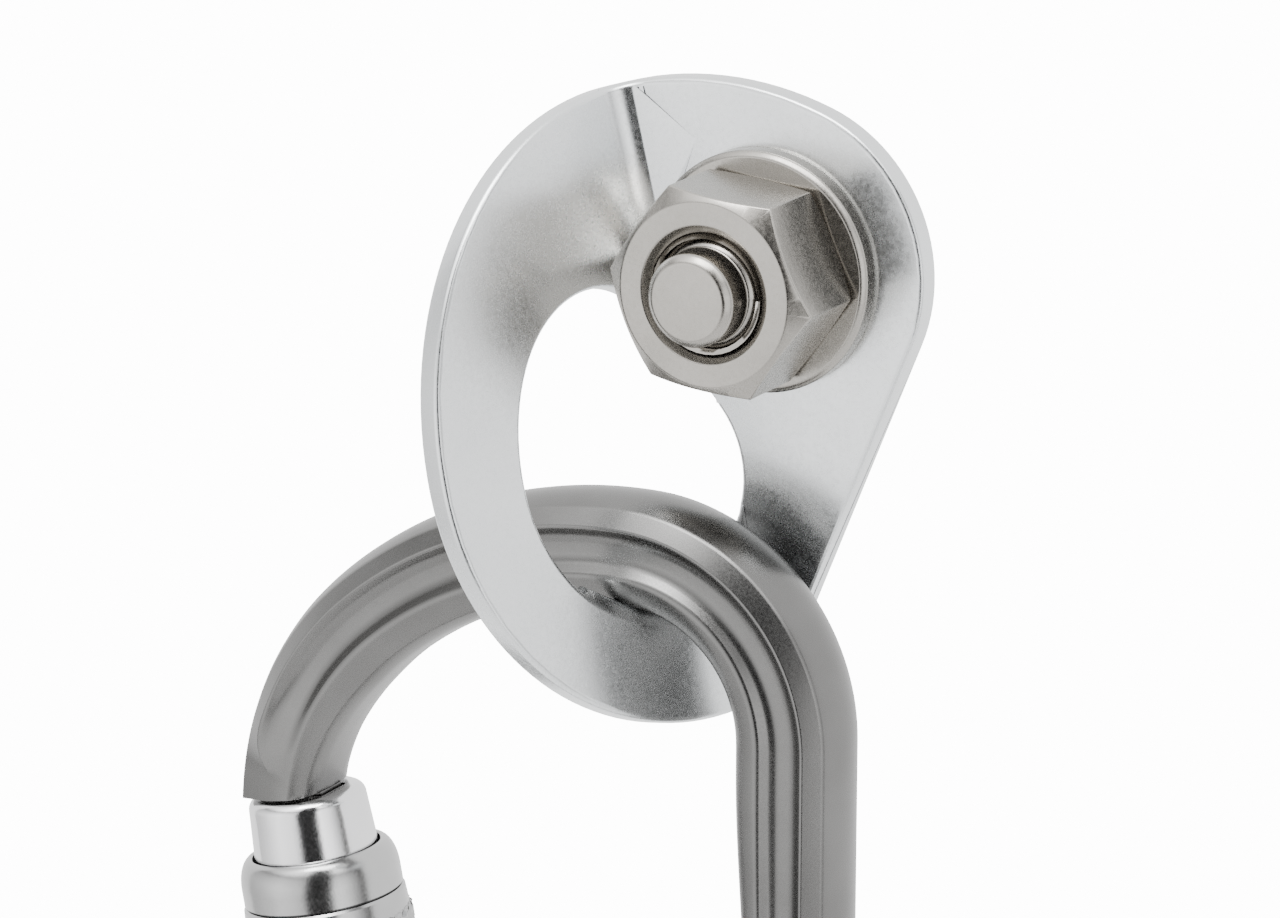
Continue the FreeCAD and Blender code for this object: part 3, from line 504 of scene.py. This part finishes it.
def nose_key():
    """The frame's own key, closed a little inside the nose."""
    bm = cad_copy("frame")
    up = GATE.to_3x3() @ Vector((0, 0, 1))
    bmesh.ops.bisect_plane(bm, geom=everything(bm), dist=1e-4,
                           plane_co=GATE @ Vector((0, 0, GATE_LENGTH + 0.1)), plane_no=up,
                           clear_outer=True)
    bmesh.ops.bisect_plane(bm, geom=everything(bm), dist=1e-4,
                           plane_co=GATE @ Vector((0, 0, GATE_LENGTH - 8)), plane_no=-up,
                           clear_outer=True)
    into_gate = GATE.inverted()
    beside = [v for v in bm.verts if abs((into_gate @ v.co).x) > KEY_HALF]
    bmesh.ops.delete(bm, geom=beside, context="VERTS")
    rim = [e for e in bm.edges if e.is_boundary]
    bmesh.ops.contextual_create(bm, geom=rim)
    top = [f for f in bm.faces if len(f.verts) > 4]
    bmesh.ops.recalc_face_normals(bm, faces=bm.faces)
    for face in top:
        if face.normal.dot(up) > 0.9:
            bmesh.ops.translate(bm, verts=face.verts, vec=up * 0.4)
    whole_faces(bm)
    return bm


# ---------------------------------------------------------------- screw sleeve

BARREL_FOOT = GATE_LENGTH - 38.3
BARREL_TOP = GATE_LENGTH - 11.3
RING_TOP = GATE_LENGTH - 6.2
RING_BORE = 6.75
RING_SKIRT = 7.35
RING_OUTSIDE = 8.35
BARREL_SOCKET = 7.45
BARREL_THREAD = 6.05
BARREL_OUTSIDE = 8.62
KNURL_COLUMNS = 34
KNURL_ROWS = 13
GROOVE = 0.09
DIAMOND_SLOPE = 0.32
DIAMOND_HEIGHT = 0.3


def make_ring(finish):
    bm = bmesh.new()
    crown = quarter((RING_OUTSIDE, RING_TOP - 3.1), (6.9, RING_TOP), 10)
    profile = [(RING_BORE, BARREL_TOP - 1.6), (RING_SKIRT, BARREL_TOP - 1.6),
               (RING_SKIRT, BARREL_TOP + 0.05), (8.1, BARREL_TOP + 0.05),
               (RING_OUTSIDE, BARREL_TOP + 0.3)] + crown + [(RING_BORE, RING_TOP - 0.1)]
    turn_profile(bm, profile, 160)
    on_gate(bm)
    keep_piece("sleeve_collar", bm, "sleeve_ring", "sleeve_aluminium", finish, "sleeve_ring")


def make_barrel(finish):
    bm = bmesh.new()
    low = BARREL_FOOT + 2.2
    high = BARREL_TOP - 2.0
    profile = [(BARREL_SOCKET, BARREL_TOP - 1.7), (BARREL_SOCKET, BARREL_TOP), (8.25, BARREL_TOP),
               (8.5, BARREL_TOP - 0.25), (BARREL_OUTSIDE, high), (BARREL_OUTSIDE, low),
               (8.55, BARREL_FOOT + 0.9), (8.0, BARREL_FOOT), (BARREL_THREAD, BARREL_FOOT),
               (BARREL_THREAD, BARREL_TOP - 8), (6.8, BARREL_TOP - 6.6)]
    turn_profile(bm, profile, 96)
    knurl_band(bm, BARREL_OUTSIDE, low, high)
    on_gate(bm)
    keep_piece("knurled_barrel", bm, "sleeve_barrel", "sleeve_aluminium", finish, "sleeve_barrel")


def knurl_band(bm, radius, low, high):
    """Diamond knurl: squares are poked, their old edges dissolved and each diamond raised."""
    band = bmesh.new()
    heights = [low + (high - low) * row / KNURL_ROWS for row in range(KNURL_ROWS + 1)]
    verts = [band.verts.new((radius, 0, height)) for height in heights]
    edges = [band.edges.new(pair) for pair in zip(verts, verts[1:])]
    bmesh.ops.spin(band, geom=verts + edges, cent=(0, 0, 0), axis=(0, 0, 1), dvec=(0, 0, 0),
                   angle=2 * math.pi, steps=KNURL_COLUMNS, use_merge=True, use_duplicate=False)
    bmesh.ops.remove_doubles(band, verts=band.verts, dist=0.001)
    bmesh.ops.recalc_face_normals(band, faces=band.faces)
    old = [e for e in band.edges if not e.is_boundary]
    bmesh.ops.poke(band, faces=band.faces)
    for vert in band.verts:
        flat = math.hypot(vert.co.x, vert.co.y)
        vert.co.x *= radius / flat
        vert.co.y *= radius / flat
    bmesh.ops.dissolve_edges(band, edges=old, use_verts=False)
    bmesh.ops.inset_individual(band, faces=band.faces, thickness=GROOVE, depth=0.0,
                               use_even_offset=True)
    tops = [f for f in band.faces if all(len(v.link_faces) == 3 for v in f.verts)]
    bmesh.ops.inset_individual(band, faces=tops, thickness=DIAMOND_SLOPE, depth=DIAMOND_HEIGHT,
                               use_even_offset=True)
    join_shapes(bm, band)


# ---------------------------------------------------------------- nut, washer and stud

NUT_FLATS = 19.0
THREAD_PITCH = 1.75
THREAD_TURNS = 8
THREAD_STEPS = 40
THREAD_END = 15.3
THREAD_CUT = -15.4
THREAD_ROOT = 5.42
THREAD_CREST = 5.88
BLANK_RADIUS = 10.98
NUT_BORE = 5.95


def scratch_object(bm):
    """A short-lived object for a boolean."""
    mesh = bpy.data.meshes.new("scratch")
    bm.to_mesh(mesh)
    bm.free()
    obj = bpy.data.objects.new("scratch", mesh)
    bpy.context.scene.collection.objects.link(obj)
    return obj


def carved(base, tool, operation):
    """The first shape after a boolean with the second."""
    first = scratch_object(base)
    second = scratch_object(tool)
    cut = first.modifiers.new("carve", "BOOLEAN")
    cut.operation = operation
    cut.solver = "EXACT"
    cut.object = second
    bpy.context.view_layer.update()
    worked_out = first.evaluated_get(bpy.context.evaluated_depsgraph_get())
    mesh = bpy.data.meshes.new_from_object(worked_out)
    result = bmesh.new()
    result.from_mesh(mesh)
    for obj in (first, second):
        bpy.data.meshes.remove(obj.data)
    bpy.data.meshes.remove(mesh)
    return result


def along_bolt(bm):
    """Turns a shape made round the Z axis so that its height runs out of the wall."""
    bmesh.ops.rotate(bm, verts=bm.verts, cent=(0, 0, 0),
                     matrix=Matrix.Rotation(math.pi / 2, 3, "X"))


def make_nut(finish):
    """A hexagon cut by a turned blank, which leaves the curved edges of the chamfers on the flats."""
    low, high = (corner.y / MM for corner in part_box("nut"))
    far = max((v.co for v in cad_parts["nut"].data.vertices),
              key=lambda co: co.x ** 2 + co.z ** 2)
    height = high - low
    hexagon = bmesh.new()
    corners = NUT_FLATS / math.sqrt(3)
    bmesh.ops.create_cone(hexagon, cap_ends=True, cap_tris=False, segments=6, depth=height + 1,
                          radius1=corners, radius2=corners)
    bmesh.ops.translate(hexagon, verts=hexagon.verts, vec=(0, 0, height / 2))
    corner = max((v.co for v in hexagon.verts), key=lambda co: co.x)
    spin = math.atan2(-far.z, far.x) - math.atan2(corner.y, corner.x)
    bmesh.ops.rotate(hexagon, verts=hexagon.verts, cent=(0, 0, 0),
                     matrix=Matrix.Rotation(-spin, 3, "Z"))
    blank = bmesh.new()
    turn_profile(blank, [(NUT_BORE, 0.9), (6.7, 0), (9.3, 0), (BLANK_RADIUS, 0.8),
                         (BLANK_RADIUS, height - 1.4), (9.0, height), (6.75, height),
                         (NUT_BORE, height - 0.8)], 144)
    bm = carved(hexagon, blank, "INTERSECT")
    soften(bm, 0.14, sharp=14, segments=3)
    along_bolt(bm)
    bmesh.ops.translate(bm, verts=bm.verts, vec=(0, high, 0))
    keep_piece("hexagon_nut", bm, "nut", "stainless", finish, "nut")


def make_stud(finish):
    """The turned stud with its rolled thread wound on as a screw surface."""
    bm = cad_copy("stud")
    whole_faces(bm)
    soften(bm, 0.25)
    thread = bmesh.new()
    foot = THREAD_END - THREAD_TURNS * THREAD_PITCH
    ridge = [(THREAD_ROOT, 0), (THREAD_CREST, 0.62), (THREAD_CREST, 0.86), (THREAD_ROOT, 1.48),
             (THREAD_ROOT, THREAD_PITCH)]
    verts = [thread.verts.new((radius, 0, foot + height)) for radius, height in ridge]
    edges = [thread.edges.new(pair) for pair in zip(verts, verts[1:])]
    bmesh.ops.spin(thread, geom=verts + edges, cent=(0, 0, 0), axis=(0, 0, 1),
                   dvec=(0, 0, THREAD_PITCH / THREAD_STEPS), angle=THREAD_TURNS * 2 * math.pi,
                   steps=THREAD_TURNS * THREAD_STEPS, use_duplicate=False)
    bmesh.ops.remove_doubles(thread, verts=thread.verts, dist=0.004)
    bmesh.ops.recalc_face_normals(thread, faces=thread.faces)
    along_bolt(thread)
    for vert in thread.verts:
        vert.co.y = max(vert.co.y, THREAD_CUT)
    join_shapes(bm, thread)
    keep_piece("anchor_stud", bm, "anchor", "stainless", finish, "stud")


def join_shapes(bm, other):
    """Adds the second shape to the first."""
    mesh = bpy.data.meshes.new("joined")
    other.to_mesh(mesh)
    other.free()
    bm.from_mesh(mesh)
    bpy.data.meshes.remove(mesh)


# ---------------------------------------------------------------- hanger

HANG_TURN = math.radians(14.3)
PLATE = 3.0
FOLD_X = -10.3
FOLD_TURN = math.radians(70)
CAD_FOLD_RADIUS = 1.6
FOLD_RADIUS = 3.8
FOLD_CUTS = 5
RIM_CUTS = 5
RIM_RISE = 1.7


def along_plate(co):
    """Where a point lies on the folded plate: run from the fold's start, depth from the back."""
    across = Vector((co.x - FOLD_X, co.y + PLATE + CAD_FOLD_RADIUS))
    outer = CAD_FOLD_RADIUS + PLATE
    if across.x >= 0:
        return across.x, -co.y
    turn = math.atan2(-across.x, across.y)
    middle = CAD_FOLD_RADIUS + PLATE / 2
    if 0 <= turn <= FOLD_TURN and across.y > -1e-6:
        return -middle * turn, outer - across.length
    away = Vector((-math.sin(FOLD_TURN), math.cos(FOLD_TURN)))
    onward = Vector((-math.cos(FOLD_TURN), -math.sin(FOLD_TURN)))
    return -middle * FOLD_TURN - across.dot(onward), outer - across.dot(away)


def widen_fold(bm):
    """Bends the plate again round a larger radius. The wall side and the ear stay in place."""
    spare = (FOLD_RADIUS - CAD_FOLD_RADIUS) * math.tan(FOLD_TURN / 2)
    end = -(CAD_FOLD_RADIUS + PLATE / 2) * FOLD_TURN - spare
    axis = Vector((FOLD_X, -PLATE - CAD_FOLD_RADIUS, 0))
    onward = Vector((-math.cos(FOLD_TURN), -math.sin(FOLD_TURN), 0))
    for cut in range(FOLD_CUTS + 1):
        offset = spare * cut / FOLD_CUTS
        for place, facing in ((Vector((FOLD_X + offset, 0, 0)), Vector((1, 0, 0))),
                              (axis + onward * offset, onward)):
            bmesh.ops.bisect_plane(bm, geom=everything(bm), dist=0.01,
                                   plane_co=place, plane_no=facing)
    centre = Vector((FOLD_X + spare, -PLATE - FOLD_RADIUS))
    for vert in bm.verts:
        run, depth = along_plate(vert.co)
        if end < run < spare:
            turn = FOLD_TURN * (spare - run) / (spare - end)
            reach = FOLD_RADIUS + PLATE - depth
            vert.co.x = centre.x - math.sin(turn) * reach
            vert.co.y = centre.y + math.cos(turn) * reach


def crown_eye_rim(bm):
    """Swells the lower rim of the eye between its two faces, where the connector's bar rests."""
    across = []
    for edge in bm.edges:
        (run_a, depth_a), (_, depth_b) = (along_plate(v.co) for v in edge.verts)
        height_a, height_b = (v.co.z for v in edge.verts)
        if (-24 < run_a < 5 and -34 < (height_a + height_b) / 2 < -20
                and abs(depth_a - depth_b) > 1.2 and abs(height_a - height_b) < 0.6):
            across.append(edge)
    bmesh.ops.subdivide_edges(bm, edges=across, cuts=RIM_CUTS, use_grid_fill=True)
    for vert in bm.verts:
        run, depth = along_plate(vert.co)
        if -20.5 < run < 5 and -34 < vert.co.z < -22.5:
            swell = math.sin(math.pi * min(max(depth, 0), PLATE) / PLATE)
            vert.co.z += RIM_RISE * swell * ease(-vert.co.z, 23, 29) * (1 - ease(run, -1, 4))


def make_hanger(finish):
    """The folded plate, turned upright while it is worked on and turned back after."""
    bm = cad_copy("hanger")
    bmesh.ops.rotate(bm, verts=bm.verts, cent=(0, 0, 0), matrix=Matrix.Rotation(HANG_TURN, 3, "Y"))
    widen_fold(bm)
    bmesh.ops.dissolve_degenerate(bm, dist=0.02, edges=bm.edges)
    whole_faces(bm)
    soften(bm, 0.6, sharp=42, segments=4)
    whole_faces(bm, 1.0)
    crown_eye_rim(bm)
    bmesh.ops.rotate(bm, verts=bm.verts, cent=(0, 0, 0), matrix=Matrix.Rotation(-HANG_TURN, 3, "Y"))
    keep_piece("bent_plate", bm, "hanger", "plate_steel", finish, "hanger")


# ---------------------------------------------------------------- softened CAD shapes

def make_softened(name, node, body, slot, finish, width):
    bm = cad_copy(node)
    whole_faces(bm)
    soften(bm, width)
    keep_piece(name, bm, body, slot, finish, node)


# ---------------------------------------------------------------- stage, lights and camera

def stage_material(name):
    mat = bpy.data.materials.new(name)
    mat.use_nodes = True
    return mat


def stage_sheet(name, corners, finish):
    bm = bmesh.new()
    bm.faces.new([bm.verts.new(Vector(corner)) for corner in corners])
    mesh = bpy.data.meshes.new(name)
    bm.to_mesh(mesh)
    bm.free()
    mesh.materials.append(finish)
    obj = bpy.data.objects.new(name, mesh)
    bpy.context.scene.collection.objects.link(obj)


def seen_or_lit(nodes, links, seen, lit):
    """Strength of a backdrop: what the eye sees of it, and the light it gives the metal."""
    path = nodes.new("ShaderNodeLightPath")
    mix = nodes.new("ShaderNodeMix")
    links.new(path.outputs["Is Camera Ray"], mix.inputs["Factor"])
    if isinstance(lit, float):
        mix.inputs["A"].default_value = lit
    else:
        links.new(lit, mix.inputs["A"])
    mix.inputs["B"].default_value = seen
    return mix.outputs["Result"]


def make_stage():
    """A pale floor, and a white wall seen only from the front, so that the back stays open to view."""
    floor = stage_material("pale_floor")
    shader = floor.node_tree.nodes["Principled BSDF"]
    shader.inputs["Base Color"].default_value = (0.86, 0.86, 0.86, 1)
    shader.inputs["Roughness"].default_value = 0.9
    depth = cad_box[0].z - 1.0
    stage_sheet("floor", [(-2, -2, depth), (2, -2, depth), (2, 2, depth), (-2, 2, depth)], floor)
    wall = stage_material("white_wall")
    nodes = wall.node_tree.nodes
    links = wall.node_tree.links
    glow = nodes.new("ShaderNodeEmission")
    links.new(seen_or_lit(nodes, links, WHITE, WALL_LIGHT), glow.inputs["Strength"])
    clear = nodes.new("ShaderNodeBsdfTransparent")
    side = nodes.new("ShaderNodeNewGeometry")
    mix = nodes.new("ShaderNodeMixShader")
    links.new(side.outputs["Backfacing"], mix.inputs["Fac"])
    links.new(glow.outputs["Emission"], mix.inputs[1])
    links.new(clear.outputs["BSDF"], mix.inputs[2])
    links.new(mix.outputs["Shader"], nodes["Material Output"].inputs["Surface"])
    stage_sheet("wall", [(-1, WALL_GAP, depth), (1, WALL_GAP, depth), (1, WALL_GAP, 1),
                         (-1, WALL_GAP, 1)], wall)


def area_light(name, place, aim, size, power):
    data = bpy.data.lights.new(name, "AREA")
    data.shape = "RECTANGLE"
    data.size, data.size_y = size
    data.energy = power
    lamp = bpy.data.objects.new(name, data)
    lamp.location = place
    lamp.rotation_euler = (Vector(aim) - Vector(place)).to_track_quat("-Z", "Y").to_euler()
    bpy.context.scene.collection.objects.link(lamp)


def from_camera_side(azimuth, elevation, distance):
    """A place round the object: azimuth turns from the wall's outward direction to the right."""
    turn, rise = math.radians(azimuth), math.radians(elevation)
    flat = math.cos(rise)
    return Vector((math.sin(turn) * flat, -math.cos(turn) * flat, math.sin(rise))) * distance


# The studio round the object: strength of the light by azimuth, in degrees from the wall's
# outward direction to the right, with a dark gap in front where nothing shines.
STUDIO_ROUND = [(-180, 1.2), (-90, 1.2), (-60, 1.7), (-30, 2.7), (-6, 2.2), (6, 1.8), (11, 0.02),
                (46, 0.02), (52, 3.2), (68, 2.4), (84, 0.8), (110, 1.2), (180, 1.2)]
# The same by the height of the direction, from straight down to straight up.
STUDIO_HEIGHT = [(-1.0, 0.12), (-0.62, 0.15), (-0.42, 0.8), (0.0, 1.0), (0.35, 0.75), (0.5, 0.35),
                 (0.68, 1.5), (1.0, 1.8)]
STRONGEST = 4.0
WHITE = 14.0
WALL_LIGHT = 1.9
WALL_GAP = 0.0006


def strength_ramp(nodes, links, value, stops, low, high):
    """Strength along a list of (place, strength) stops."""
    spread = nodes.new("ShaderNodeMapRange")
    spread.inputs["From Min"].default_value = low
    spread.inputs["From Max"].default_value = high
    links.new(value, spread.inputs["Value"])
    ramp = nodes.new("ShaderNodeValToRGB")
    while len(ramp.color_ramp.elements) < len(stops):
        ramp.color_ramp.elements.new(0.5)
    for element, (place, strength) in zip(ramp.color_ramp.elements, stops):
        element.position = (place - low) / (high - low)
        element.color = (strength / STRONGEST,) * 3 + (1,)
    links.new(spread.outputs["Result"], ramp.inputs["Fac"])
    return ramp.outputs["Color"]


def worked(nodes, links, operation, first, second):
    """One step of arithmetic on two sockets or numbers."""
    step = nodes.new("ShaderNodeMath")
    step.operation = operation
    for socket, value in zip(step.inputs, (first, second)):
        if isinstance(value, (int, float)):
            socket.default_value = value
        else:
            links.new(value, socket)
    return step.outputs["Value"]


def make_lights():
    world = bpy.data.worlds.new("studio")
    world.use_nodes = True
    nodes = world.node_tree.nodes
    links = world.node_tree.links
    place = nodes.new("ShaderNodeTexCoord")
    parts = nodes.new("ShaderNodeSeparateXYZ")
    links.new(place.outputs["Generated"], parts.inputs["Vector"])
    out = worked(nodes, links, "MULTIPLY", parts.outputs["Y"], -1)
    turn = worked(nodes, links, "ARCTAN2", parts.outputs["X"], out)
    turn = worked(nodes, links, "MULTIPLY", turn, 180 / math.pi)
    round_about = strength_ramp(nodes, links, turn, STUDIO_ROUND, -180, 180)
    by_height = strength_ramp(nodes, links, parts.outputs["Z"], STUDIO_HEIGHT, -1, 1)
    both = worked(nodes, links, "MULTIPLY", round_about, by_height)
    lit = worked(nodes, links, "MULTIPLY", both, STRONGEST * STRONGEST)
    links.new(seen_or_lit(nodes, links, WHITE, lit), nodes["Background"].inputs["Strength"])
    nodes["Background"].inputs["Color"].default_value = (1, 1, 1, 1)
    bpy.context.scene.world = world
    middle = Vector((-0.02, -0.01, -0.04))
    area_light("top_box", middle + from_camera_side(10, 70, 0.8), middle, (0.5, 0.3), 5)


def make_camera():
    aim = Vector((-0.0157, 0, -0.02215))
    data = bpy.data.cameras.new("camera")
    data.sensor_width = 36
    data.lens = 140.3
    data.clip_start = 0.01
    camera = bpy.data.objects.new("camera", data)
    camera.location = aim + from_camera_side(29.2, 15.7, 0.5)
    camera.rotation_euler = (aim - camera.location).to_track_quat("-Z", "Y").to_euler()
    bpy.context.scene.collection.objects.link(camera)
    bpy.context.scene.camera = camera


# ---------------------------------------------------------------- everything together

finish = make_finishes()
make_camera()
make_stage()
make_lights()

make_hanger(finish["plate"])
make_nut(finish["stainless"])
make_softened("round_washer", "washer", "washer", "stainless", finish["stainless"], 0.18)
make_stud(finish["stainless"])
make_bar(finish["forged"])
make_ring(finish["sleeve"])
make_barrel(finish["sleeve"])
make_softened("gate_body", "gate", "gate", "bright_aluminium", finish["head"], 0.2)

for node, name in (("expansion_clip", "spring"), ("gate_rivet", "turned"), ("gate_plunger", "turned"),
                   ("gate_spring", "spring")):
    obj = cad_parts[node]
    obj.data.materials.clear()
    obj.data.materials.append(finish[name])
